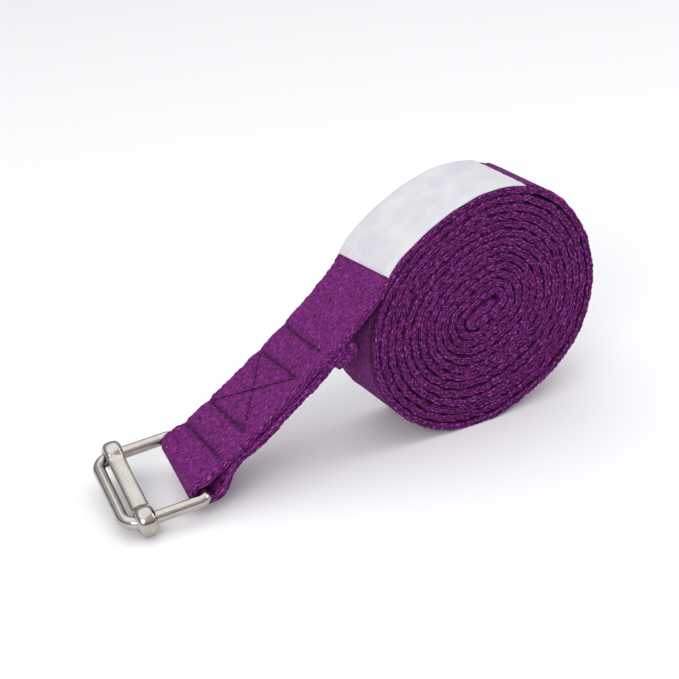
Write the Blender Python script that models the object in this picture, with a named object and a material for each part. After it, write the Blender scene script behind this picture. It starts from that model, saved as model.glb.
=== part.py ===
"""Rolled cotton stretching strap with a sliding-bar buckle.

The webbing is one long band: a hemmed core end, a spiral roll standing on its rim,
a tail that leaves the roll, a loop round the buckle's fixed bar, and a folded-back
end sewn under the tail. The wire frame swivels in the loop, and a cross bar with
two eyelets slides along the frame's rails.

Metres, +Z up, roll axis along Y, tail towards -X, resting surface at z = 0.
"""

import math

import bmesh
import bpy
from mathutils import Matrix, Vector

# Webbing
STRAP_WIDTH = 0.038
STRAP_THICKNESS = 0.0031
ROLL_PITCH = 0.00350
LAYER_GAP = 0.0003

# Roll: parallel turns round a flat hemmed core, described by a support function
ROLL_CENTRE = Vector((0.05523, -0.00442, 0.0492))
CORE_DIRECTION = math.radians(25)
CORE_HALF_LENGTH = 0.0065
CORE_SHIFT = 0.00145
CORE_ROUNDING = 0.12
CORE_RADIUS = 0.0033
CORE_BEND_STEPS = 6
OVAL_GROWTH = 0.00183
SAG = Vector((0.00055, 0, -0.00136))
LOPSIDED = Vector((-0.00023, 0, -0.00021))
TURNS = 12
ALL_TURNS = 12.58
LEAVING_ANGLE = math.radians(143)
ANGLE_STEP = math.radians(10)
HEM_END = 0.0062
HEM_THREAD_PLACE = 0.35
HEM_THREAD_INSET = 0.003
FLOOR_Z = 0.0

# Tail: from the roll to the buckle's fixed bar
TAIL_STEPS = 18
TAIL_ROLL_HANDLE = 0.018
TAIL_BAR_HANDLE = 0.006
TWIST_POWER = 2.5
TWIST_END = 0.88
LOOP_STEPS = 9
FOLD_BACK_LENGTH = 0.074
FOLD_BACK_STEPS = 16
FOLD_BACK_CROWDING = 1.3
END_HEM_LENGTH = 0.0085
END_HEM_STEPS = 6
CLOSING_LENGTH = 0.012

# Buckle frame: a ring of round wire, in its own axes (x along the rails, y across)
WIRE_RADIUS = 0.00255
WIRE_CLEARANCE = 0.00025
FRAME_WIDTH = 0.0447
FRAME_LENGTH = 0.0325
END_BEND_RADIUS = 0.007
BAR_BEND_RADIUS = 0.0030
BEND_STEPS = 6
WIRE_ROUNDING = 3
FIXED_BAR_CENTRE = Vector((-0.1287, 0.0010, -0.0372))
FRAME_YAW = math.radians(-8.0)
FRAME_SLOPE = math.radians(6.0)
FRAME_TILT = math.radians(7.6)

# Sliding bar: a cross bar between two eyelets that ride on the rails
SLIDE_FROM_END = 0.0078
EYELET_RADIUS = 0.0060
EYELET_LENGTH = 0.0080
EYELET_SIDES = 24
EYELET_HOLE_HALF_WIDTH = 0.0037
EYELET_HOLE_HALF_HEIGHT = 0.0033
EYELET_HOLE_INSET = 0.00065
EYELET_HOLE_SIDES = 20
CROSS_BAR_WIDTH = 0.0071
CROSS_BAR_HEIGHT = 0.0047
CROSS_BAR_LIFT = 0.0006
EDGE_BEVEL = 0.0009
BAR_BEVEL_SEGMENTS = 3
EYELET_BEVEL_SEGMENTS = 2
BEVEL_ANGLE = math.radians(40)

# Trim: label and sewing thread
TRIM_GAP = 0.00015
LABEL_THICKNESS = 0.0004
LABEL_WIDTH = 0.0370
LABEL_START = math.radians(3)
LABEL_SPAN = math.radians(67.5)
LABEL_THREAD_PLACE = 0.22
LABEL_THREAD_INSET = 0.002
THREAD_WIDTH = 0.0009
THREAD_HEIGHT = 0.0004
THREAD_NEAR = -0.0125
THREAD_FAR = 0.0160
ROW_DISTANCES = (0.0093, 0.0230, 0.0520, 0.0660)
CROSS_END_GAP = 0.0012
CROSS_STEPS = 12
CROSSING_RISE = 0.0007
CROSSING_REACH = 0.2

MAROON = (0.10, 0.012, 0.06)
PURPLE = (0.16, 0.022, 0.13)
WHITE = (0.72, 0.70, 0.73)
NICKEL = (0.62, 0.59, 0.55)


class Station:
    """One cross section of the band: its middle and its three directions."""

    def __init__(self, middle, along, across):
        self.middle = middle
        self.along = along.normalized()
        self.across = (across - across.dot(self.along) * self.along).normalized()
        self.outward = self.across.cross(self.along).normalized()

    def moved(self, distance):
        return Station(self.middle + distance * self.outward, self.along, self.across)

    def blended(self, other, share):
        return Station(
            self.middle.lerp(other.middle, share),
            self.along.lerp(other.along, share),
            self.across.lerp(other.across, share),
        )


def clear_scene():
    for obj in list(bpy.data.objects):
        bpy.data.objects.remove(obj, do_unlink=True)


def principled(name, colour, roughness, metallic=0.0):
    material = bpy.data.materials.new(name)
    material.use_nodes = True
    shader = material.node_tree.nodes["Principled BSDF"]
    shader.inputs["Base Color"].default_value = (*colour, 1.0)
    shader.inputs["Roughness"].default_value = roughness
    shader.inputs["Metallic"].default_value = metallic
    return material


def new_object(name, mesh, material, parent=None, location=(0, 0, 0)):
    obj = bpy.data.objects.new(name, mesh)
    obj.data.materials.append(material)
    obj.location = location
    obj.parent = parent
    bpy.context.scene.collection.objects.link(obj)
    return obj


def new_empty(name, location, rotation=(0, 0, 0), parent=None):
    empty = bpy.data.objects.new(name, None)
    empty.location = location
    empty.rotation_euler = rotation
    empty.parent = parent
    bpy.context.scene.collection.objects.link(empty)
    return empty


def skin_rings(name, rings):
    """A closed mesh through equal rings of points, which run anticlockwise seen from its end."""
    bm = bmesh.new()
    loops = [[bm.verts.new(point) for point in ring] for ring in rings]
    for first, second in zip(loops, loops[1:]):
        for i in range(len(first)):
            j = (i + 1) % len(first)
            bm.faces.new((first[i], first[j], second[j], second[i]))
    bm.faces.new(tuple(reversed(loops[0])))
    bm.faces.new(tuple(loops[-1]))
    mesh = bpy.data.meshes.new(name)
    bm.to_mesh(mesh)
    bm.free()
    return mesh


def strip_ring(station, low, high, inner, outer):
    """Four corners from across = low to high and from inner to outer height."""
    return [
        station.middle + side * station.across + height * station.outward
        for side, height in ((low, inner), (low, outer), (high, outer), (high, inner))
    ]


def support(angle):
    """Distance from the roll's centre to the band's middle, facing angle, and its slope."""
    turned = angle - CORE_DIRECTION
    share = (turned + math.pi / 2) / math.tau / ALL_TURNS
    share_slope = 1 / math.tau / ALL_TURNS
    root = math.hypot(math.cos(turned), CORE_ROUNDING)
    root_slope = -math.cos(turned) * math.sin(turned) / root
    flat = CORE_HALF_LENGTH + OVAL_GROWTH * share
    facing, along = facing_and_along(angle)
    facing_3, along_3 = facing_and_along(3 * angle)
    drift = SAG.dot(facing) + LOPSIDED.dot(facing_3)
    drift_slope = SAG.dot(along) + 3 * LOPSIDED.dot(along_3)
    distance = (
        CORE_RADIUS
        + (ROLL_PITCH * ALL_TURNS + drift) * share
        + flat * root
        + CORE_SHIFT * math.sin(turned)
    )
    slope = (
        (ROLL_PITCH * ALL_TURNS + drift + OVAL_GROWTH * root) * share_slope
        + drift_slope * share
        + flat * root_slope
        + CORE_SHIFT * math.cos(turned)
    )
    return distance, slope


def facing_and_along(angle):
    facing = Vector((math.cos(angle), 0, math.sin(angle)))
    along = Vector((-math.sin(angle), 0, math.cos(angle)))
    return facing, along


def roll_station(angle):
    distance, slope = support(angle)
    facing, along = facing_and_along(angle)
    return Station(distance * facing + slope * along, along, Vector((0, 1, 0)))


def core_stations():
    """The hem: cut end over the core, a half turn round its edge, and back below it."""
    long_way = Vector((math.cos(CORE_DIRECTION), 0, math.sin(CORE_DIRECTION)))
    short_way = Vector((-math.sin(CORE_DIRECTION), 0, math.cos(CORE_DIRECTION)))
    across = Vector((0, 1, 0))
    bend = CORE_RADIUS - CORE_SHIFT
    start = -CORE_HALF_LENGTH
    stations = [
        Station(x * long_way + bend * short_way, -long_way, across)
        for x in (HEM_END, 0.0, start)
    ]
    for step in range(1, CORE_BEND_STEPS + 1):
        turn = math.pi / 2 + step * math.pi / CORE_BEND_STEPS
        facing = math.cos(turn) * long_way + math.sin(turn) * short_way
        along = -math.sin(turn) * long_way + math.cos(turn) * short_way
        stations.append(Station(start * long_way + bend * facing, along, across))
    return stations


def roll_stations():
    first = CORE_DIRECTION - math.pi / 2
    last = LEAVING_ANGLE + math.tau * TURNS
    count = round((last - first) / ANGLE_STEP)
    return [roll_station(last - (count - i) * ANGLE_STEP) for i in range(count + 1)]


def bezier(points, t):
    weights = ((1 - t) ** 3, 3 * (1 - t) ** 2 * t, 3 * (1 - t) * t * t, t**3)
    return sum((w * p for w, p in zip(weights, points)), Vector())


def bezier_direction(points, t):
    steps = [b - a for a, b in zip(points, points[1:])]
    weights = ((1 - t) ** 2, 2 * (1 - t) * t, t * t)
    return sum((w * p for w, p in zip(weights, steps)), Vector())


def frame_matrix():
    """Rotation of the buckle frame: x towards the roll, y along the fixed bar."""
    yaw = Matrix.Rotation(FRAME_YAW, 3, "Z")
    slope = Matrix.Rotation(-FRAME_SLOPE, 3, "Y")
    tilt = Matrix.Rotation(FRAME_TILT, 3, "X")
    return yaw @ slope @ tilt


def tail_stations(start):
    """Top layer of the tail, from the roll to above the fixed bar."""
    axes = frame_matrix()
    along = -axes.col[0]
    bar = axes.col[1]
    lift = WIRE_RADIUS + WIRE_CLEARANCE + STRAP_THICKNESS / 2
    end = FIXED_BAR_CENTRE + lift * axes.col[2]
    points = (
        start.middle,
        start.middle + TAIL_ROLL_HANDLE * start.along,
        end - TAIL_BAR_HANDLE * along,
        end,
    )
    stations = []
    for step in range(1, TAIL_STEPS + 1):
        t = step / TAIL_STEPS
        across = start.across.lerp(bar, min(t / TWIST_END, 1.0) ** TWIST_POWER)
        stations.append(Station(bezier(points, t), bezier_direction(points, t), across))
    return stations


def loop_stations(last):
    """Round the outer side of the fixed bar, from above it to below it."""
    radius = (last.middle - FIXED_BAR_CENTRE).length
    stations = []
    for step in range(1, LOOP_STEPS + 1):
        turn = Matrix.Rotation(-math.pi * step / LOOP_STEPS, 3, last.across)
        facing = turn @ last.outward
        stations.append(
            Station(FIXED_BAR_CENTRE + radius * facing, turn @ last.along, last.across)
        )
    return stations


def smooth(share):
    share = min(max(share, 0.0), 1.0)
    return share * share * (3 - 2 * share)


def at_distance(stations, distance):
    """The station this far back from the last one, measured along the band."""
    for later, earlier in zip(reversed(stations), reversed(stations[:-1])):
        step = (later.middle - earlier.middle).length
        if distance <= step:
            return later.blended(earlier, distance / step)
        distance -= step
    return stations[0]


def fold_back_stations(tail):
    """The layer under the tail, which closes up to it within CLOSING_LENGTH."""
    wide = 2 * (WIRE_RADIUS + WIRE_CLEARANCE) + STRAP_THICKNESS
    close = STRAP_THICKNESS + LAYER_GAP
    stations = []
    for step in range(1, FOLD_BACK_STEPS + 1):
        distance = FOLD_BACK_LENGTH * (step / FOLD_BACK_STEPS) ** FOLD_BACK_CROWDING
        above = at_distance(tail, distance)
        drop = wide + (close - wide) * smooth(distance / CLOSING_LENGTH)
        below = above.moved(-drop)
        stations.append(Station(below.middle, -above.along, above.across))
    return stations


def end_hem_stations(tail, last):
    """The end of the layer below, turned once more under itself."""
    radius = (STRAP_THICKNESS + LAYER_GAP) / 2
    centre = last.middle + radius * last.outward
    stations = []
    for step in range(1, END_HEM_STEPS + 1):
        turn = math.pi * step / END_HEM_STEPS
        facing = math.sin(turn) * last.along - math.cos(turn) * last.outward
        along = math.cos(turn) * last.along + math.sin(turn) * last.outward
        stations.append(Station(centre + radius * facing, along, last.across))
    drop = 2 * (STRAP_THICKNESS + LAYER_GAP)
    for step in range(1, END_HEM_STEPS + 1):
        distance = FOLD_BACK_LENGTH - END_HEM_LENGTH * step / END_HEM_STEPS
        above = at_distance(tail, distance)
        stations.append(Station(above.moved(-drop).middle, above.along, above.across))
    return stations


def webbing_mesh(stations, floor):
    """The band's closed mesh. What would pass the resting surface is pressed flat."""
    half = STRAP_WIDTH / 2
    thick = STRAP_THICKNESS / 2
    rings = [strip_ring(station, -half, half, -thick, thick) for station in stations]
    for ring in rings:
        for corner in ring:
            corner.z = max(corner.z, floor)
    return skin_rings("webbing", rings)


def trim_mesh(name, path, width, height):
    """A thin band along (station, across, height above the webbing) points."""
    rings = []
    for index, (station, side, lift) in enumerate(path):
        foot = station.middle + side * station.across
        before = path[max(index - 1, 0)]
        after = path[min(index + 1, len(path) - 1)]
        way = (after[0].middle + after[1] * after[0].across) - (
            before[0].middle + before[1] * before[0].across
        )
        beside = station.outward.cross(way).normalized()
        low = STRAP_THICKNESS / 2 + lift
        rings.append(
            [
                foot + a * width / 2 * beside + b * station.outward
                for a, b in ((-1, low), (1, low), (1, low + height), (-1, low + height))
            ]
        )
    return skin_rings(name, rings)


def thread_row(name, station, material, lift=TRIM_GAP, near=THREAD_NEAR, far=THREAD_FAR):
    path = [(station, near, lift), (station, far, lift)]
    mesh = trim_mesh(name, path, THREAD_WIDTH, THREAD_HEIGHT)
    return new_object(name, mesh, material, location=ROLL_CENTRE)


def thread_cross(name, tail, sides, rise, material):
    """A diagonal of the sewn box, which may step over the other at the crossing."""
    start = ROW_DISTANCES[1] + CROSS_END_GAP
    end = ROW_DISTANCES[2] - CROSS_END_GAP
    path = []
    for step in range(CROSS_STEPS + 1):
        t = step / CROSS_STEPS
        side = sides[0] + (sides[1] - sides[0]) * t
        over = rise * smooth((CROSSING_REACH - abs(t - 0.5)) / CROSSING_REACH)
        path.append((at_distance(tail, start + (end - start) * t), side, TRIM_GAP + over))
    mesh = trim_mesh(name, path, THREAD_WIDTH, THREAD_HEIGHT)
    return new_object(name, mesh, material, location=ROLL_CENTRE)


def label_stations(roll):
    """Stations under the label, from its end on the roll to near the leaving line."""
    first = LABEL_START / ANGLE_STEP
    last = first + LABEL_SPAN / ANGLE_STEP
    places = [first, *range(math.ceil(first), math.ceil(last)), last]
    newest = len(roll) - 1
    stations = []
    for place in places:
        whole = math.floor(place)
        later = roll[newest - whole]
        stations.append(later.blended(roll[newest - whole - 1], place - whole))
    return stations[::-1]


def make_label(roll, white, thread):
    stations = label_stations(roll)
    low = STRAP_THICKNESS / 2 + TRIM_GAP
    half = LABEL_WIDTH / 2
    rings = [strip_ring(s, -half, half, low, low + LABEL_THICKNESS) for s in stations]
    new_object("label", skin_rings("label", rings), white, location=ROLL_CENTRE)
    lift = 2 * TRIM_GAP + LABEL_THICKNESS
    ends = {
        "label_thread_roll_end": stations[0].blended(stations[1], LABEL_THREAD_PLACE),
        "label_thread_tail_end": stations[-1].blended(stations[-2], LABEL_THREAD_PLACE),
    }
    reach = half - LABEL_THREAD_INSET
    for name, station in ends.items():
        thread_row(name, station, thread, lift, -reach, reach)


def frame_path():
    """Centre line of the wire ring: the fixed bar at x = 0, the free end at -x."""
    half = FRAME_WIDTH / 2
    corners = (
        (-BAR_BEND_RADIUS, half - BAR_BEND_RADIUS, BAR_BEND_RADIUS, 0),
        (END_BEND_RADIUS - FRAME_LENGTH, half - END_BEND_RADIUS, END_BEND_RADIUS, 1),
        (END_BEND_RADIUS - FRAME_LENGTH, END_BEND_RADIUS - half, END_BEND_RADIUS, 2),
        (-BAR_BEND_RADIUS, BAR_BEND_RADIUS - half, BAR_BEND_RADIUS, 3),
    )
    points = []
    for x, y, radius, quarter in corners:
        for step in range(BEND_STEPS + 1):
            turn = (quarter + step / BEND_STEPS) * math.pi / 2
            points.append((x + radius * math.cos(turn), y + radius * math.sin(turn), 0))
    return points


def make_frame(pivot, material):
    points = frame_path()
    curve = bpy.data.curves.new("buckle_frame", "CURVE")
    curve.dimensions = "3D"
    curve.bevel_depth = WIRE_RADIUS
    curve.bevel_resolution = WIRE_ROUNDING
    spline = curve.splines.new("POLY")
    spline.points.add(len(points) - 1)
    for point, place in zip(spline.points, points):
        point.co = (*place, 1.0)
    spline.use_cyclic_u = True
    spline.use_smooth = True
    return new_object("buckle_frame", curve, material, parent=pivot)


def disc_prism(name, centre_y, half_sizes, length, sides):
    """A prism along x with an elliptical outline in y and z."""
    turns = [math.tau * i / sides for i in range(sides)]
    outline = [
        (centre_y + half_sizes[0] * math.cos(turn), half_sizes[1] * math.sin(turn))
        for turn in turns
    ]
    rings = [[Vector((x, y, z)) for y, z in outline] for x in (-length / 2, length / 2)]
    return skin_rings(name, rings)


def bevelled(obj, width, segments):
    bevel = obj.modifiers.new("bevel", "BEVEL")
    bevel.width = width
    bevel.segments = segments
    bevel.limit_method = "ANGLE"
    bevel.angle_limit = BEVEL_ANGLE


def boolean(obj, other, operation):
    modifier = obj.modifiers.new(operation.lower(), "BOOLEAN")
    modifier.operation = operation
    modifier.solver = "EXACT"
    modifier.object = other
    other.hide_render = True
    other.display_type = "WIRE"


def make_slide_bar(pivot, material):
    """Cross bar and eyelets in one casting, bored for the rails."""
    rail = FRAME_WIDTH / 2
    bm = bmesh.new()
    size = (CROSS_BAR_WIDTH, FRAME_WIDTH - EYELET_RADIUS, CROSS_BAR_HEIGHT)
    bmesh.ops.create_cube(bm, size=1.0, matrix=Matrix.Diagonal((*size, 1.0)))
    bmesh.ops.translate(bm, verts=bm.verts, vec=(0, 0, CROSS_BAR_LIFT))
    mesh = bpy.data.meshes.new("slide_bar")
    bm.to_mesh(mesh)
    bm.free()
    bar = new_object("slide_bar", mesh, material, parent=pivot)
    bevelled(bar, EDGE_BEVEL, BAR_BEVEL_SEGMENTS)
    outside = (EYELET_RADIUS, EYELET_RADIUS)
    for side in (-1, 1):
        body = disc_prism("eyelet", side * rail, outside, EYELET_LENGTH, EYELET_SIDES)
        eyelet = new_object(f"eyelet_body_{side}", body, material, parent=pivot)
        bevelled(eyelet, EDGE_BEVEL, EYELET_BEVEL_SEGMENTS)
        boolean(bar, eyelet, "UNION")
    hole = (EYELET_HOLE_HALF_WIDTH, EYELET_HOLE_HALF_HEIGHT)
    for side in (-1, 1):
        inset = side * (rail - EYELET_HOLE_INSET)
        bore = disc_prism("bore", inset, hole, 2 * EYELET_LENGTH, EYELET_HOLE_SIDES)
        cutter = new_object(f"eyelet_bore_{side}", bore, material, parent=pivot)
        boolean(bar, cutter, "DIFFERENCE")
    return bar


def main():
    clear_scene()
    cotton = principled("purple_cotton", PURPLE, 0.95)
    thread = principled("maroon_thread", MAROON, 0.8)
    white = principled("white_label", WHITE, 0.85)
    white_thread = principled("white_thread", WHITE, 0.8)
    nickel = principled("nickel_plate", NICKEL, 0.25, 1.0)

    core = core_stations()
    roll = roll_stations()
    tail = [roll[-1], *tail_stations(roll[-1])]
    loop = loop_stations(tail[-1])
    fold_back = fold_back_stations(tail)
    end_hem = end_hem_stations(tail, fold_back[-1])
    band = core + roll + tail[1:] + loop + fold_back + end_hem
    mesh = webbing_mesh(band, FLOOR_Z - ROLL_CENTRE.z)
    new_object("webbing", mesh, cotton, location=ROLL_CENTRE)

    make_label(roll, white, white_thread)
    for number, distance in enumerate(ROW_DISTANCES, start=1):
        thread_row(f"thread_row_{number}", at_distance(tail, distance), thread)
    thread_cross("thread_cross_over", tail, (THREAD_FAR, THREAD_NEAR), CROSSING_RISE, thread)
    thread_cross("thread_cross_under", tail, (THREAD_NEAR, THREAD_FAR), 0.0, thread)
    hem = core[0].blended(core[1], HEM_THREAD_PLACE)
    reach = STRAP_WIDTH / 2 - HEM_THREAD_INSET
    thread_row("thread_core_hem", hem, thread, TRIM_GAP, -reach, reach)

    rotation = frame_matrix().to_euler()
    pivot = new_empty("buckle_pivot", ROLL_CENTRE + FIXED_BAR_CENTRE, rotation)
    slider = new_empty("slide_pivot", (SLIDE_FROM_END - FRAME_LENGTH, 0, 0), parent=pivot)
    make_frame(pivot, nickel)
    make_slide_bar(slider, nickel)


main()
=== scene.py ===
"""Looks of the rolled cotton stretching strap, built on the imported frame.

Everything is in metres in the frame's own axes: roll axis along Y, tail towards -X,
resting surface at z = 0. The weave and the slider are in millimetres, as noted there.
"""

import math

import bpy
import numpy as np
from mathutils import Matrix, Vector


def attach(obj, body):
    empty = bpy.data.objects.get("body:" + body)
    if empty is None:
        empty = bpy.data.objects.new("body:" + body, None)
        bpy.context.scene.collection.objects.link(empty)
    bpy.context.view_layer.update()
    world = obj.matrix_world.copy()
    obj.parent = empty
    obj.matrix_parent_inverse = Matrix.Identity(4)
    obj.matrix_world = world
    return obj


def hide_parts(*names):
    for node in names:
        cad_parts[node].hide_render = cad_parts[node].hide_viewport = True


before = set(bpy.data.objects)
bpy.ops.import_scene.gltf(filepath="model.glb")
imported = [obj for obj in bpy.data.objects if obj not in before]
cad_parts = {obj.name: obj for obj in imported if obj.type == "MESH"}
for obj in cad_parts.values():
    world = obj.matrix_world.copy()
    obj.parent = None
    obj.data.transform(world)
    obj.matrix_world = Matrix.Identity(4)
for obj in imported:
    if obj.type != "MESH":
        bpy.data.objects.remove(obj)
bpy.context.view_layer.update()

MM = 0.001

# Route of the webbing, as in the solid model
STRAP_WIDTH = 0.038
STRAP_THICKNESS = 0.0031
ROLL_PITCH = 0.0035
ROLL_CENTRE = np.array((0.05523, -0.00442, 0.0492))
CORE_DIRECTION = math.radians(25)
CORE_HALF_LENGTH = 0.0065
CORE_SHIFT = 0.00145
CORE_ROUNDING = 0.12
CORE_RADIUS = 0.0033
HEM_END = 0.0062
OVAL_GROWTH = 0.00183
SAG = (0.00055, -0.00136)
LOPSIDED = (-0.00023, -0.00021)
TURNS = 12
ALL_TURNS = 12.58
LEAVING_ANGLE = math.radians(143)
TAIL_ROLL_HANDLE = 0.018
TAIL_BAR_HANDLE = 0.006
TWIST_POWER = 2.5
TWIST_END = 0.88
FOLD_BACK_LENGTH = 0.074
CLOSING_LENGTH = 0.012
END_HEM_LENGTH = 0.0085
LAYER_GAP = 0.0003

# Buckle
WIRE_RADIUS = 0.00255
WIRE_CLEARANCE = 0.00025
FRAME_WIDTH = 0.0447
FRAME_LENGTH = 0.0325
END_BEND_RADIUS = 0.007
BAR_BEND_RADIUS = 0.0030
FIXED_BAR_CENTRE = np.array((-0.1287, 0.0010, -0.0372))
FRAME_YAW = math.radians(-8.0)
FRAME_SLOPE = math.radians(6.0)
FRAME_TILT = math.radians(7.6)
SLIDE_FROM_END = 0.0078

# Label and stitching
LABEL_START = math.radians(3)
LABEL_SPAN = math.radians(67.5)
LABEL_WIDTH = 0.0370
LABEL_SKEW = 0.0011
ROW_DISTANCES = (0.0093, 0.0230, 0.0520, 0.0660)
THREAD_NEAR = -0.0125
THREAD_FAR = 0.0160

# Ribbon, its gap to the webbing, and how far its seams and the dark thread rise off the webbing
LABEL_THICKNESS = 0.00042
LABEL_GAP = 0.00012
SEAM_RISE = 0.00066
THREAD_RISE = 0.0001

# Fineness of the webbing's mesh
ALONG_STEP = 0.00052
EDGE_POINTS = 11
FACE_POINTS = 10
LIP_RINGS = 4

# Webbing up close: its edge's round, the loops along it and the furrow under a sewn row
EDGE_ROUND = 0.00145
LOOP_PITCH = 2.45 * MM
ROW_DEPTH = 0.00055

# Weave, in millimetres as in the "cloth" UV map
RIB_PITCH = 1.02
FLOAT_LENGTH = 2.7
SELVEDGE_REACH = 4.4

# Slider, in millimetres: half sizes of its bar, then its eyelets and their bores
BAR_HALF = (3.55, 21.0, 2.35)
BAR_LIFT = 0.6
BAR_CROWN = 0.32
BAR_ROUNDING = 1.0
RAIL_OFFSET = 22.35
EYELET_RADIUS = 6.0
EYELET_HALF_LENGTH = 4.0
EYELET_BARREL = 0.8
EYELET_RIM = 2.1
BORE_INSET = 0.65
BORE_HALF = (3.7, 3.3)


def unit(vectors):
    return vectors / np.linalg.norm(vectors, axis=-1, keepdims=True)


def smooth(share):
    share = np.clip(share, 0.0, 1.0)
    return share * share * (3 - 2 * share)


def ripple(x, *waves):
    """A sum of sines of x: each wave is (wavelength, size, phase)."""
    return sum(size * np.sin(math.tau * x / length + phase) for length, size, phase in waves)


# ---------------------------------------------------------------- route of the webbing


class Route:
    """Points along the band with the direction along it and across it."""

    def __init__(self, middle, along, across):
        self.middle = np.asarray(middle, float)
        along = unit(np.asarray(along, float))
        across = np.asarray(across, float) + 0 * along
        self.along = along
        self.across = unit(across - (across * along).sum(-1, keepdims=True) * along)
        self.outward = np.cross(self.across, self.along)
        steps = np.linalg.norm(np.diff(self.middle, axis=0), axis=1)
        self.length = np.concatenate([[0], np.cumsum(steps)])

    def at(self, lengths):
        pick = lambda v: np.stack([np.interp(lengths, self.length, v[:, k]) for k in range(3)], -1)
        return Route(pick(self.middle), pick(self.along), pick(self.across))

    def lifted(self, heights, sideways=0.0):
        heights = np.broadcast_to(heights, len(self.middle))[:, None]
        sideways = np.broadcast_to(sideways, len(self.middle))[:, None]
        middle = self.middle + heights * self.outward + sideways * self.across
        return Route(middle, self.along, self.across)


def joined(*routes):
    kept = ("middle", "along", "across")
    return Route(*[np.concatenate([getattr(r, k) for r in routes]) for k in kept])


def roll_route(angles):
    turned = angles - CORE_DIRECTION
    share_slope = 1 / math.tau / ALL_TURNS
    share = (turned + math.pi / 2) * share_slope
    root = np.hypot(np.cos(turned), CORE_ROUNDING)
    root_slope = -np.cos(turned) * np.sin(turned) / root
    flat = CORE_HALF_LENGTH + OVAL_GROWTH * share
    c, d, c3, d3 = np.cos(angles), np.sin(angles), np.cos(3 * angles), np.sin(3 * angles)
    growth = ROLL_PITCH * ALL_TURNS + SAG[0] * c + SAG[1] * d + LOPSIDED[0] * c3 + LOPSIDED[1] * d3
    growth_slope = SAG[1] * c - SAG[0] * d + 3 * (LOPSIDED[1] * c3 - LOPSIDED[0] * d3)
    distance = CORE_RADIUS + growth * share + flat * root + CORE_SHIFT * np.sin(turned)
    slope = (
        (growth + OVAL_GROWTH * root) * share_slope
        + growth_slope * share
        + flat * root_slope
        + CORE_SHIFT * np.cos(turned)
    )
    zero = 0 * angles
    facing = np.stack([np.cos(angles), zero, np.sin(angles)], -1)
    along = np.stack([-np.sin(angles), zero, np.cos(angles)], -1)
    return Route(distance[:, None] * facing + slope[:, None] * along, along, [0, 1, 0])


def core_route():
    long_way = np.array((math.cos(CORE_DIRECTION), 0, math.sin(CORE_DIRECTION)))
    short_way = np.array((-math.sin(CORE_DIRECTION), 0, math.cos(CORE_DIRECTION)))
    bend = CORE_RADIUS - CORE_SHIFT
    x = np.linspace(HEM_END, -CORE_HALF_LENGTH, 20)[:, None]
    turn = np.linspace(math.pi / 2, 1.5 * math.pi, 14)[1:, None]
    straight = x * long_way + bend * short_way
    round_end = -CORE_HALF_LENGTH * long_way + bend * (
        np.cos(turn) * long_way + np.sin(turn) * short_way
    )
    round_along = -np.sin(turn) * long_way + np.cos(turn) * short_way
    return Route(
        np.concatenate([straight, round_end]),
        np.concatenate([straight * 0 - long_way, round_along]),
        [0, 1, 0],
    )


def frame_axes():
    yaw = Matrix.Rotation(FRAME_YAW, 3, "Z")
    slope = Matrix.Rotation(-FRAME_SLOPE, 3, "Y")
    tilt = Matrix.Rotation(FRAME_TILT, 3, "X")
    return np.array(yaw @ slope @ tilt)


AXES = frame_axes()
PIVOT = ROLL_CENTRE + FIXED_BAR_CENTRE


def tail_route(start):
    along, bar, up = -AXES[:, 0], AXES[:, 1], AXES[:, 2]
    lift = WIRE_RADIUS + WIRE_CLEARANCE + STRAP_THICKNESS / 2
    end = FIXED_BAR_CENTRE + lift * up
    first, direction = start.middle[-1], start.along[-1]
    points = (first, first + TAIL_ROLL_HANDLE * direction, end - TAIL_BAR_HANDLE * along, end)
    t = np.linspace(0, 1, 160)[1:, None]
    weights = ((1 - t) ** 3, 3 * (1 - t) ** 2 * t, 3 * (1 - t) * t * t, t**3)
    slopes = ((1 - t) ** 2, 2 * (1 - t) * t, t * t)
    middle = sum(w * p for w, p in zip(weights, points))
    way = sum(w * (b - a) for w, a, b in zip(slopes, points, points[1:]))
    share = np.minimum(t / TWIST_END, 1.0) ** TWIST_POWER
    return Route(middle, way, (1 - share) * start.across[-1] + share * bar)


def loop_route():
    radius = WIRE_RADIUS + WIRE_CLEARANCE + STRAP_THICKNESS / 2
    turn = np.linspace(0, math.pi, 40)[1:, None]
    facing = np.cos(turn) * AXES[:, 2] - np.sin(turn) * AXES[:, 0]
    along = -np.cos(turn) * AXES[:, 0] - np.sin(turn) * AXES[:, 2]
    return Route(FIXED_BAR_CENTRE + radius * facing, along, AXES[:, 1])


def fold_back_route(tail):
    wide = 2 * (WIRE_RADIUS + WIRE_CLEARANCE) + STRAP_THICKNESS
    close = STRAP_THICKNESS + LAYER_GAP
    distance = np.linspace(0, FOLD_BACK_LENGTH, 150)[1:]
    above = tail.at(tail.length[-1] - distance)
    drop = wide + (close - wide) * smooth(distance / CLOSING_LENGTH)
    below = above.middle - drop[:, None] * above.outward
    return Route(below, -above.along, above.across)


def end_hem_route(tail, fold_back):
    """The end of the layer below, turned once more under itself."""
    radius = (STRAP_THICKNESS + LAYER_GAP) / 2
    last = fold_back.at(fold_back.length[-1:])
    turn = np.linspace(0, math.pi, 14)[1:, None]
    facing = np.sin(turn) * last.along - np.cos(turn) * last.outward
    along = np.cos(turn) * last.along + np.sin(turn) * last.outward
    bend = last.middle + radius * (last.outward + facing)
    distance = np.linspace(FOLD_BACK_LENGTH, FOLD_BACK_LENGTH - END_HEM_LENGTH, 16)[1:]
    above = tail.at(tail.length[-1] - distance)
    flat = above.middle - 2 * (STRAP_THICKNESS + LAYER_GAP) * above.outward
    across = np.concatenate([last.across + 0 * bend, above.across])
    return Route(np.concatenate([bend, flat]), np.concatenate([along, above.along]), across)


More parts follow.
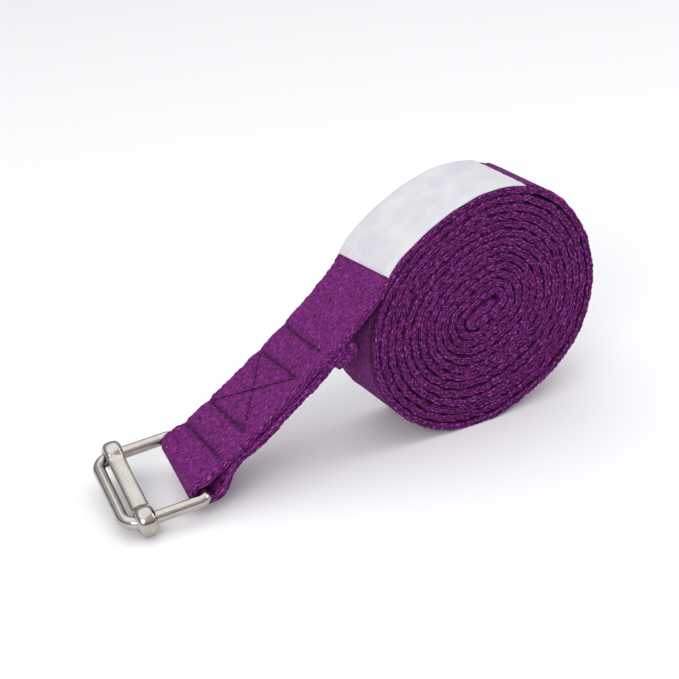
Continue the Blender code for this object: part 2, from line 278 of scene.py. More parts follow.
FIRST_ANGLE = CORE_DIRECTION - math.pi / 2
LAST_ANGLE = LEAVING_ANGLE + math.tau * TURNS
CORE = core_route()
ROLL = roll_route(np.arange(FIRST_ANGLE, LAST_ANGLE + 0.001, math.radians(1)))
TAIL_ONLY = tail_route(ROLL)
TAIL = joined(ROLL.at(ROLL.length[-1:]), TAIL_ONLY)
LOOP = loop_route()
FOLD_BACK = fold_back_route(TAIL)
END_HEM = end_hem_route(TAIL, FOLD_BACK)
BAND = joined(CORE, ROLL, TAIL_ONLY, LOOP, FOLD_BACK, END_HEM)
ROLL_BEGINS = BAND.length[len(CORE.middle)]
ROLL_ENDS = BAND.length[len(CORE.middle) + len(ROLL.middle) - 1]
BAR_AT = BAND.length[len(CORE.middle) + len(ROLL.middle) + len(TAIL_ONLY.middle) - 1]
FOLD_AT = BAND.length[-len(FOLD_BACK.middle) - len(END_HEM.middle) - 1]
HEM_AT = BAND.length[-len(END_HEM.middle) - 1]


# ---------------------------------------------------------------- how the real cloth strays


def in_roll(s):
    """1 on the roll, fading to 0 on the tail and at the very core."""
    return smooth((s - ROLL_BEGINS) / 0.03) * smooth((ROLL_ENDS + 0.01 - s) / 0.05)


def turn_angle(s):
    angles = np.linspace(FIRST_ANGLE, LAST_ANGLE, len(ROLL.length))
    return np.interp(s, ROLL_BEGINS + ROLL.length, angles)


def sideways_stray(s):
    """How far each turn sits out of line with its neighbours, most at the lower left."""
    angle = turn_angle(s)
    lower_left = 0.5 + 0.5 * np.cos(angle - math.radians(215))
    uneven = ripple(angle, (5.1, 0.34, 0.4), (8.7, 0.36, 2.0), (3.3, 0.16, 1.1))
    return in_roll(s) * MM * uneven * (0.35 + 0.9 * lower_left)


def lift_stray(s):
    """How far the band stands off its regular spiral: small everywhere, open in two places."""
    angle = turn_angle(s)
    small = ripple(angle, (2.9, 0.05, 0.0), (4.7, 0.06, 1.3), (1.9, 0.03, 2.2))
    last = LAST_ANGLE - angle
    gape = 0.75 * np.exp(-(((last - math.radians(88)) / 0.30) ** 2))
    return in_roll(s) * MM * (small + gape)


def tail_dip(from_bar, side):
    """Depth of the furrows that the cross rows of stitches pull into the tail."""
    depth = 0 * from_bar
    for row in ROW_DISTANCES:
        depth = depth + np.exp(-(((from_bar - row) / 0.0017) ** 2))
    sewn = smooth((side - THREAD_NEAR + 0.004) / 0.004)
    return ROW_DEPTH * depth * sewn


def profile():
    """Ring of the band: (across, height, edge share, cap share) going low side up and over."""
    half, thick, edge = STRAP_WIDTH / 2, STRAP_THICKNESS / 2, EDGE_ROUND
    power = 2 / 2.7
    turn = np.linspace(-math.pi / 2, math.pi / 2, EDGE_POINTS)
    cap = np.abs(np.cos(turn)) ** power
    height = thick * np.sign(np.sin(turn)) * np.abs(np.sin(turn)) ** power
    across = half - edge + edge * cap
    face = np.linspace(-across[0], across[0], FACE_POINTS + 1)[1:-1]
    flat = np.full(len(face), thick)
    ring = [
        (-across, height, -np.ones(EDGE_POINTS), cap),
        (face, flat, 0 * face, 0 * face),
        (across[::-1], height[::-1], np.ones(EDGE_POINTS), cap[::-1]),
        (face[::-1], -flat, 0 * face, 0 * face),
    ]
    return [np.concatenate(values) for values in zip(*ring)]


def band_points(s, route):
    """Points of every ring, shape (stations, ring, 3), and a painted shade factor for each, 0 to
    1: 1 where lit, lower where painted shade falls.
    """
    across, height, side, cap = profile()
    half = STRAP_WIDTH / 2
    edge = smooth((np.abs(across) - half + 0.0045) / 0.0045)
    v = height / (STRAP_THICKNESS / 2)
    S = s[:, None]
    # two rows of slanted loops along each edge, half a loop apart
    phase = math.pi * S / LOOP_PITCH + 1.3 * v + math.pi / 2 * smooth(v + 0.5)
    phase = phase + 0.5 * ripple(S, (0.017, 1.0, 0.3), (0.0291, 0.8, 1.7)) + side
    loops = np.abs(np.cos(phase)) ** 0.7 - 0.62
    furrow = np.exp(-((v / 0.28) ** 2))
    rolled, outer = in_roll(s)[:, None], smooth((S - ROLL_ENDS + 0.36) / 0.05)
    a = across + side * cap * MM * ((0.38 + 0.24 * rolled) * loops - 0.34 * furrow)
    # painted shade: darker between the loops and in the furrow along the middle of each edge
    depth = np.abs(side) * cap * (1.15 * (0.20 - loops).clip(0) + 0.40 * furrow)
    # painted shade where the edges of neighbouring turns meet on the roll
    depth = depth + np.abs(side) * (1 - cap) * rolled
    a = a + side * cap * MM * ripple(S, (0.0113, 0.10, 0.0), (0.0237, 0.16, 1.0))
    # each edge wanders up and down between its neighbours
    wander = ripple(S, (0.0069, 0.25, 0.5), (0.0107, 0.14, 2.1), (0.0163, 0.11, 0.9))
    wander = wander + side * ripple(S, (0.0081, 0.07, 1.4), (0.0137, 0.06, 0.2))
    swell = 0.015 + 0.05 * ripple(S, (0.0033, 0.6, 0.0), (0.0211, 1.0, 0.7))
    b = height * (1 + edge * swell) + edge * MM * wander * (1 - 0.5 * outer)
    b = b + edge * cap * MM * (0.32 - 0.14 * outer) * np.sign(v) * loops
    # stitched furrows, on the tail and on the layer below it, with painted shade in them
    from_bar = np.where(s < BAR_AT, BAR_AT - s, s - FOLD_AT)[:, None]
    on_tail = ((s > ROLL_ENDS) & (s < BAR_AT))[:, None]
    on_fold = ((s > FOLD_AT) & (s < HEM_AT))[:, None]
    dip = tail_dip(from_bar, a)
    depth = depth + np.where((on_tail | on_fold) & (v > 0.9), dip / (2 * ROW_DEPTH), 0)
    b = b - np.where(on_tail & (v > 0), dip, 0) - np.where(on_fold & (v > 0), dip, 0)
    pinch = 1 - 0.020 * sum(np.exp(-(((from_bar - r) / 0.0026) ** 2)) for r in ROW_DISTANCES)
    a = np.where((on_tail | on_fold) & (a > 0), a * pinch, a)
    # the free near edge of the two layers splays open a little and wanders
    near = smooth((-a - 0.0125) / 0.0065)
    splay = 0.5 + 0.35 * np.sin(math.tau * from_bar / 0.0262 + 0.8)
    close_by = smooth(from_bar / 0.006) * smooth((FOLD_BACK_LENGTH - from_bar) / 0.014)
    b = b + np.where(on_tail, MM * 0.5 * splay * near * close_by, 0)
    b = b + np.where(on_fold, MM * 0.6 * splay * near * close_by, 0)
    wave = 0.5 + ripple(from_bar, (0.031, 0.5, 0.4))
    a = a - np.where(on_fold, MM * near * close_by * wave, 0)
    middle = route.middle[:, None, :]
    points = middle + a[..., None] * route.across[:, None] + b[..., None] * route.outward[:, None]
    # the painted shade factor: 1 less the painted shade
    return points, np.clip(1 - depth, 0, 1)


def smooth_mesh(name, points, faces):
    mesh = bpy.data.meshes.new(name)
    mesh.from_pydata(points.tolist(), [], faces)
    mesh.polygons.foreach_set("use_smooth", np.ones(len(mesh.polygons), bool))
    mesh.update()
    return mesh


def grid_mesh(name, points, ring_u, along_v):
    """Mesh through rings of points, capped at both ends, with a UV map in millimetres."""
    count, ring = points.shape[:2]
    index = np.arange(count * ring).reshape(count, ring)
    following = np.roll(index, -1, axis=1)
    faces = np.stack([index[:-1], following[:-1], following[1:], index[1:]], -1).reshape(-1, 4)
    caps = [index[0][::-1].tolist(), index[-1].tolist()]
    mesh = smooth_mesh(name, points.reshape(-1, 3), faces.tolist() + caps)
    width = np.concatenate([ring_u, [ring_u[-1] + ring_u[1] - ring_u[0]]])
    u = np.broadcast_to(width, (count, ring + 1))
    v = np.broadcast_to(np.asarray(along_v)[:, None], (count, ring + 1))
    corners = [(slice(0, -1), slice(0, -1)), (slice(0, -1), slice(1, None)),
               (slice(1, None), slice(1, None)), (slice(1, None), slice(0, -1))]
    uv = np.stack([np.stack([u[c], v[c]], -1) for c in corners], 2).reshape(-1, 2)
    cap_uv = np.concatenate([np.stack([ring_u, ring_u * 0 + along_v[0]], -1)[::-1],
                             np.stack([ring_u, ring_u * 0 + along_v[-1]], -1)])
    layer = mesh.uv_layers.new(name="cloth")
    layer.data.foreach_set("uv", (np.concatenate([uv, cap_uv]) / MM).astype(np.float32).ravel())
    return mesh


def new_piece(name, mesh, material):
    obj = bpy.data.objects.new(name, mesh)
    obj.data.materials.append(material)
    bpy.context.scene.collection.objects.link(obj)
    return obj


def perimeter(points):
    steps = np.linalg.norm(np.diff(points, axis=0), axis=1)
    return np.concatenate([[0], np.cumsum(steps)])


def webbing(material):
    s = np.arange(0, BAND.length[-1], ALONG_STEP)
    route = BAND.at(s).lifted(lift_stray(s), sideways_stray(s))
    points, painted_shade_factor = band_points(s, route)
    # both cut ends close in a soft rounded lip
    for k in range(LIP_RINGS):
        thinner = 1 - math.sin(math.pi / 2 * (k + 1.2) / (LIP_RINGS + 1.2))
        for i in (k, len(s) - 1 - k):
            height = (points[i] - route.middle[i]) @ route.outward[i]
            points[i] -= thinner * height[:, None] * route.outward[i]
    points = points + ROLL_CENTRE
    points[..., 2] = np.maximum(points[..., 2], 0.0)
    across, height = profile()[:2]
    ring_u = perimeter(np.stack([across, height], -1))
    mesh = grid_mesh("webbing_cloth", points, ring_u, s)
    # the painted shade factor goes onto the points, for the cloth's colour
    painted_shade_layer = mesh.attributes.new("painted_shade_factor", "FLOAT", "POINT")
    painted_shade_layer.data.foreach_set("value", painted_shade_factor.astype(np.float32).ravel())
    return new_piece("webbing_cloth", mesh, material)


# ---------------------------------------------------------------- sewing thread and label


def tube(points, ups, radii, sides=8):
    """Rings of a round tube along points, with a radius for each point."""
    way = unit(np.gradient(points, axis=0))
    beside = unit(np.cross(way, ups))
    over = np.cross(beside, way)
    turn = np.linspace(0, math.tau, sides, endpoint=False)
    radii = np.asarray(radii)[:, None, None]
    cos, sin = np.cos(turn)[None, :, None], np.sin(turn)[None, :, None]
    return points[:, None] + radii * (cos * beside[:, None] + sin * over[:, None])


def add_tube(store, rings):
    verts, faces = store
    base = sum(len(v) for v in verts)
    count, sides = rings.shape[:2]
    index = base + np.arange(count * sides).reshape(count, sides)
    following = np.roll(index, -1, axis=1)
    quads = np.stack([index[:-1], index[1:], following[1:], following[:-1]], -1)
    faces += quads.reshape(-1, 4).tolist()
    faces += [index[0].tolist(), index[-1][::-1].tolist()]
    verts.append(rings.reshape(-1, 3))


def stitch_piece(name, lines, material, radius=0.00031, length=0.0034, gap=0.0003):
    """Single stitches along each line, a (points, ups) pair: each dips in at both ends."""
    store = ([], [])
    for number, (points, ups) in enumerate(lines):
        run = perimeter(points)
        count = max(1, round(run[-1] / (length + gap)))
        pitch = run[-1] / count
        for k in range(count):
            jitter = 0.00012 * math.sin(7.3 * k + 2.1 * number)
            along = np.linspace(k * pitch + gap / 2, (k + 1) * pitch - gap / 2, 8) + jitter
            pick = lambda v: np.stack([np.interp(along, run, v[:, i]) for i in range(3)], -1)
            t = np.linspace(0, 1, 8)
            arch = np.sin(math.pi * t) ** 0.5
            up = unit(pick(ups))
            middle = pick(points) + up * ((arch - 0.72) * 0.0005)[:, None]
            add_tube(store, tube(middle, up, radius * (0.55 + 0.45 * arch)))
    return new_piece(name, smooth_mesh(name, np.concatenate(store[0]), store[1]), material)


def tail_line(distances, sides, under=False, raise_by=0.0):
    """A sewn line on the tail's upper face, or on the lower face of the layer below."""
    distances, sides = np.broadcast_arrays(np.asarray(distances, float), np.asarray(sides, float))
    at = TAIL.at(TAIL.length[-1] - distances)
    ups = at.outward
    close = STRAP_THICKNESS + LAYER_GAP
    dip = tail_dip(distances, sides)
    height = STRAP_THICKNESS / 2 - dip + THREAD_RISE + raise_by
    if under:
        wide = 2 * (WIRE_RADIUS + WIRE_CLEARANCE) + STRAP_THICKNESS
        drop = wide + (close - wide) * smooth(distances / CLOSING_LENGTH)
        height = -(drop + STRAP_THICKNESS / 2 - dip + THREAD_RISE)
        ups = -ups
    points = at.middle + height[:, None] * at.outward + sides[:, None] * at.across
    return points + ROLL_CENTRE, ups


def stitching(thread):
    pieces = []
    sides = np.linspace(THREAD_NEAR, THREAD_FAR, 30)
    for number, distance in enumerate(ROW_DISTANCES, start=1):
        wave = 0.00025 * np.sin(sides * 210 + number)
        lines = [tail_line(distance + wave, sides), tail_line(distance + wave, sides, under=True)]
        obj = stitch_piece(f"stitches_row_{number}", lines, thread)
        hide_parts(f"thread_row_{number}")
        pieces.append(obj)
    start, end = ROW_DISTANCES[1] + 0.0006, ROW_DISTANCES[2] - 0.0006
    t = np.linspace(0, 1, 40)
    distance = start + (end - start) * t
    crosses = (("over", THREAD_FAR, THREAD_NEAR, 0.0003), ("under", THREAD_NEAR, THREAD_FAR, 0.0))
    for name, first, last, rise in crosses:
        side = first + (last - first) * t
        over = rise * smooth((0.2 - np.abs(t - 0.5)) / 0.2)
        lines = [tail_line(distance, side, raise_by=over), tail_line(distance, side, under=True)]
        obj = stitch_piece(f"stitches_cross_{name}", lines, thread)
        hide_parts(f"thread_cross_{name}")
        pieces.append(obj)
    hem = CORE.at(np.full(24, 0.35 * HEM_END))
    sides = np.linspace(-0.016, 0.016, 24)
    height = STRAP_THICKNESS / 2 + THREAD_RISE
    points = hem.middle + height * hem.outward + sides[:, None] * hem.across
    obj = stitch_piece("stitches_core_hem", [(points + ROLL_CENTRE, hem.outward)], thread)
    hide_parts("thread_core_hem")
    pieces.append(obj)
    for obj in pieces:
        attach(obj, "strap")
    return pieces


def label_route(count):
    ends = LAST_ANGLE - LABEL_START - LABEL_SPAN, LAST_ANGLE - LABEL_START
    angles = np.linspace(*ends, count)
    s = ROLL_BEGINS + np.interp(angles, turn_angle(ROLL_BEGINS + ROLL.length), ROLL.length)
    return s, BAND.at(s).lifted(lift_stray(s), sideways_stray(s))


def label(material):
    """A ribbon sewn round the outside of the roll, drooping a little at its edges and ends."""
    s, route = label_route(150)
    half, low, thick = LABEL_WIDTH / 2, STRAP_THICKNESS / 2 + LABEL_GAP, LABEL_THICKNESS
    columns = 60
    side = np.linspace(-half, half, columns)
    span = s[-1] - s[0]
    t = (s - s[0]) / span
    pucker = ripple(side[None, :] + 0 * s[:, None], (0.0051, 0.05, 0.3), (0.0083, 0.06, 1.0))
    near_seam = np.exp(-((t * span / 0.004) ** 2)) + np.exp(-(((1 - t) * span / 0.004) ** 2))
    slack = ripple(s[:, None] + 0.25 * side[None, :], (0.0171, 0.05, 0.0), (0.0293, 0.06, 1.3))
    lift = MM * (0.04 + pucker * near_seam[:, None] + 0.7 * slack)
    droop = 0.00022 * smooth((np.abs(side) - half + 0.0022) / 0.0022)
    ends = 0.00025 * smooth((0.0016 - np.minimum(t, 1 - t) * span) / 0.0016)
    top = low + thick + lift - droop[None, :] - ends[:, None]
    wobble = MM * ripple(s, (0.0143, 0.12, 0.4), (0.0227, 0.10, 2.0))[:, None]
    wide = side[None, :] + wobble
    skew = LABEL_SKEW * side[None, :] / half * smooth(t)[:, None]
    flat = (route.middle[:, None] + wide[..., None] * route.across[:, None]
            + skew[..., None] * route.along[:, None])
    above = flat + top[..., None] * route.outward[:, None]
    below = flat + (top - thick)[..., None] * route.outward[:, None]
    rings = np.concatenate([above, below[:, ::-1]], axis=1) + ROLL_CENTRE
    ring_u = np.concatenate([side, side[-1] + 0.0005 + (side[-1] - side[::-1])])
    mesh = grid_mesh("label_ribbon", rings, ring_u + half, s)
    obj = new_piece("label_ribbon", mesh, material)
    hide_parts("label")
    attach(obj, "strap")
    return obj, route, span


def label_seams(route, thread):
    for name, index, node in (("roll_end", 4, "label_thread_roll_end"),
                              ("tail_end", -5, "label_thread_tail_end")):
        sides = np.linspace(-LABEL_WIDTH / 2 + 0.0015, LABEL_WIDTH / 2 - 0.0015, 30)
        height = STRAP_THICKNESS / 2 + SEAM_RISE
        points = (route.middle[index] + height * route.outward[index]
                  + sides[:, None] * route.across[index])
        ups = np.broadcast_to(route.outward[index], points.shape)
        obj = stitch_piece(f"stitches_label_{name}", [(points + ROLL_CENTRE, ups)], thread,
                           radius=0.00012, length=0.0021, gap=0.0005)
        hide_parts(node)
        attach(obj, "strap")


# ---------------------------------------------------------------- buckle


def to_world(points):
    return points @ AXES.T + PIVOT


def wire_ring(material):
    half = FRAME_WIDTH / 2
    corners = (
        (-BAR_BEND_RADIUS, half - BAR_BEND_RADIUS, BAR_BEND_RADIUS, 0),
        (END_BEND_RADIUS - FRAME_LENGTH, half - END_BEND_RADIUS, END_BEND_RADIUS, 1),
        (END_BEND_RADIUS - FRAME_LENGTH, END_BEND_RADIUS - half, END_BEND_RADIUS, 2),
        (-BAR_BEND_RADIUS, BAR_BEND_RADIUS - half, BAR_BEND_RADIUS, 3),
    )
    path, out = [], []
    for x, y, radius, quarter in corners:
        for step in range(19):
            turn = (quarter + step / 18) * math.pi / 2
            facing = np.array((math.cos(turn), math.sin(turn), 0))
            path.append(np.array((x, y, 0)) + radius * facing)
            out.append(facing)
    path, out = np.array(path), np.array(out)
    # fill the straight runs so that the shading stays even along them
    full, faces_out = [], []
    for i in range(len(path)):
        j = (i + 1) % len(path)
        steps = max(1, int(np.linalg.norm(path[j] - path[i]) / 0.002))
        for k in range(steps):
            full.append(path[i] + (path[j] - path[i]) * k / steps)
            faces_out.append(out[i] + (out[j] - out[i]) * k / steps)
    full, faces_out = np.array(full), unit(np.array(faces_out))
    turn = np.linspace(0, math.tau, 36, endpoint=False)
    up = np.array((0, 0, 1.0))
    circle = np.cos(turn)[None, :, None] * faces_out[:, None] + np.sin(turn)[None, :, None] * up
    rings = to_world(full[:, None] + WIRE_RADIUS * circle)
    count, sides = rings.shape[:2]
    index = np.arange(count * sides).reshape(count, sides)
    across, following = np.roll(index, -1, axis=1), np.roll(index, -1, axis=0)
    both = np.roll(following, -1, axis=1)
    faces = np.stack([index, following, both, across], -1).reshape(-1, 4)
    mesh = smooth_mesh("wire_ring", rings.reshape(-1, 3), faces.tolist())
    obj = new_piece("wire_ring", mesh, material)
    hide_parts("buckle_frame")
    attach(obj, "ring")


def soft_union(first, second, reach):
    share = np.clip(0.5 + 0.5 * (second - first) / reach, 0, 1)
    return second + (first - second) * share - reach * share * (1 - share)


def soft_cut(solid, hole, reach):
    return -soft_union(-solid, hole, reach)


def slider_field(p):
    """Signed distance, in millimetres, to the cast cross bar with its two eyelets."""
    x, y, z = p[..., 0], p[..., 1], p[..., 2]
    half_x, half_y, half_z = BAR_HALF
    rounding, rim = BAR_ROUNDING, EYELET_RIM
    crown = BAR_CROWN * (x / half_x) ** 2
    qx = np.abs(x) - half_x + rounding
    qy = np.abs(y) - half_y + rounding
    qz = np.abs(z - BAR_LIFT + crown / 2) - half_z + crown / 2 + rounding
    outside = np.sqrt(np.maximum(qx, 0) ** 2 + np.maximum(qy, 0) ** 2 + np.maximum(qz, 0) ** 2)
    bar = outside + np.minimum(np.maximum(qx, np.maximum(qy, qz)), 0) - rounding
    solid = None
    for side in (-1, 1):
        barrel = EYELET_BARREL * (x / EYELET_HALF_LENGTH) ** 2
        radial = np.hypot(y - side * RAIL_OFFSET, z) - EYELET_RADIUS + rim + barrel
        end = np.abs(x) - EYELET_HALF_LENGTH + rim
        eyelet = np.hypot(np.maximum(radial, 0), np.maximum(end, 0))
        eyelet = eyelet + np.minimum(np.maximum(radial, end), 0) - rim
        solid = soft_union(bar if solid is None else solid, eyelet, 1.5)
    for side in (-1, 1):
        inset = side * (RAIL_OFFSET - BORE_INSET)
        hole = (np.hypot((y - inset) / BORE_HALF[0], z / BORE_HALF[1]) - 1) * BORE_HALF[1]
        solid = soft_cut(solid, hole, 0.7)
    return solid


def surface_net(field, low, high, step):
    """Closed quad mesh on the field's zero surface, its points pulled onto it exactly."""
    axes = [np.arange(a, b + step, step) for a, b in zip(low, high)]
    grid = np.stack(np.meshgrid(*axes, indexing="ij"), -1)
    values = field(grid)
    inside = values < 0
    shape = np.array(values.shape) - 1
    corners = [(i, j, k) for i in (0, 1) for j in (0, 1) for k in (0, 1)]
    view = lambda a, c: a[c[0]:c[0] + shape[0], c[1]:c[1] + shape[1], c[2]:c[2] + shape[2]]
    total = sum(view(inside, c).astype(int) for c in corners)
    active = (total > 0) & (total < 8)
    number = -np.ones(shape, int)
    number[active] = np.arange(active.sum())
    cells = np.argwhere(active)
    weight, place = np.zeros(len(cells)), np.zeros((len(cells), 3))
    for a in corners:
        for b in corners:
            if sum(b) - sum(a) != 1 or any(y < x for x, y in zip(a, b)):
                continue
            va, vb = view(values, a)[active], view(values, b)[active]
            crossing = (va < 0) != (vb < 0)
            t = np.where(crossing, va / np.where(va == vb, 1, va - vb), 0)
            point = np.array(a) + t[:, None] * (np.array(b) - np.array(a))
            place += np.where(crossing[:, None], point, 0)
            weight += crossing
    points = np.array(low) + step * (cells + place / weight[:, None])
    for _ in range(4):
        small = 1e-3
        slope = np.stack([(field(points + small * e) - field(points - small * e)) / (2 * small)
                          for e in np.eye(3)], -1)
        size = (slope**2).sum(-1) + 1e-9
        move = -(field(points) / size)[:, None] * slope
        points = points + np.clip(move, -step / 2, step / 2)
    quads = []
    for axis in range(3):
        u, v = (axis + 1) % 3, (axis + 2) % 3
        first = [slice(1, -1)] * 3
        first[axis] = slice(0, -1)
        second = list(first)
        second[axis] = slice(1, None)
        a, b = inside[tuple(first)], inside[tuple(second)]
        for flip in (False, True):
            where = np.argwhere((a & ~b) if not flip else (b & ~a))
            if not len(where):
                continue
            base = where + 1
            base[:, axis] -= 1
            ids = []
            for du, dv in ((0, 0), (-1, 0), (-1, -1), (0, -1)):
                cell = base.copy()
                cell[:, u] += du
                cell[:, v] += dv
                ids.append(number[tuple(cell.T)])
            quad = np.stack(ids, -1)
            quads.append(quad if not flip else quad[:, ::-1])
    return points, np.concatenate(quads)


def slider(material):
    points, quads = surface_net(slider_field, (-5.2, -29.6, -7.2), (5.2, 29.6, 7.2), 0.36)
    centre = np.array((SLIDE_FROM_END - FRAME_LENGTH, 0, 0))
    mesh = smooth_mesh("cast_slider", to_world(points * MM + centre), quads.tolist())
    obj = new_piece("cast_slider", mesh, material)
    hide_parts("slide_bar")
    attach(obj, "slider")


# ---------------------------------------------------------------- materials


class Nodes:
    """Short names for building a node tree."""

    def __init__(self, name):
        self.material = bpy.data.materials.new(name)
        self.material.use_nodes = True
        self.tree = self.material.node_tree
        self.shader = self.tree.nodes["Principled BSDF"]

    def new(self, kind, **settings):
        node = self.tree.nodes.new(kind)
        for key, value in settings.items():
            setattr(node, key, value)
        return node

    def put(self, socket, value):
        if isinstance(value, bpy.types.NodeSocket):
            self.tree.links.new(value, socket)
        else:
            socket.default_value = value

    def math(self, operation, *values):
        node = self.new("ShaderNodeMath", operation=operation)
        for socket, value in zip(node.inputs, values):
            self.put(socket, value)
        return node.outputs[0]

    def vector(self, x=0.0, y=0.0, z=0.0):
        node = self.new("ShaderNodeCombineXYZ")
        for socket, value in zip(node.inputs, (x, y, z)):
            self.put(socket, value)
        return node.outputs[0]

    def noise(self, vector, scale=1.0, detail=2.0, roughness=0.5):
        node = self.new("ShaderNodeTexNoise")
        self.put(node.inputs["Vector"], vector)
        for key, value in (("Scale", scale), ("Detail", detail), ("Roughness", roughness)):
            node.inputs[key].default_value = value
        return node.outputs["Fac"]

    def cells(self, vector, scale=1.0):
        node = self.new("ShaderNodeTexVoronoi")
        self.put(node.inputs["Vector"], vector)
        node.inputs["Scale"].default_value = scale
        return node.outputs["Distance"], node.outputs["Color"]

    def ramp(self, value, *stops):
        node = self.new("ShaderNodeValToRGB")
        self.put(node.inputs[0], value)
        while len(node.color_ramp.elements) < len(stops):
            node.color_ramp.elements.new(0.5)
        for element, (place, colour) in zip(node.color_ramp.elements, stops):
            element.position = place
            element.color = (*colour, 1.0) if len(colour) == 3 else colour
        return node.outputs[0]

    def mix(self, share, first, second, blend="MIX"):
        node = self.new("ShaderNodeMix", data_type="RGBA", blend_type=blend)
        self.put(node.inputs["Factor"], share)
        for socket, value in zip((node.inputs[6], node.inputs[7]), (first, second)):
            self.put(socket, value if isinstance(value, bpy.types.NodeSocket) else (*value, 1.0))
        return node.outputs[2]

    def bump(self, height, distance, strength=1.0, normal=None):
        node = self.new("ShaderNodeBump")
        node.inputs["Strength"].default_value = strength
        node.inputs["Distance"].default_value = distance
        self.put(node.inputs["Height"], height)
        if normal is not None:
            self.put(node.inputs["Normal"], normal)
        return node.outputs["Normal"]

    def uv(self):
        node = self.new("ShaderNodeUVMap", uv_map="cloth")
        split = self.new("ShaderNodeSeparateXYZ")
        self.put(split.inputs[0], node.outputs[0])
        return split.outputs[0], split.outputs[1]

    def set(self, **values):
        for key, value in values.items():
            self.put(self.shader.inputs[key.replace("_", " ")], value)


def grey(value):
    return (value, value, value)


def edge_span():
    """Width of one face and one edge of the band, measured round its section."""
    across, height = profile()[:2]
    return perimeter(np.stack([across, height], -1))[EDGE_POINTS + FACE_POINTS - 1]


EDGE_SPAN = edge_span()


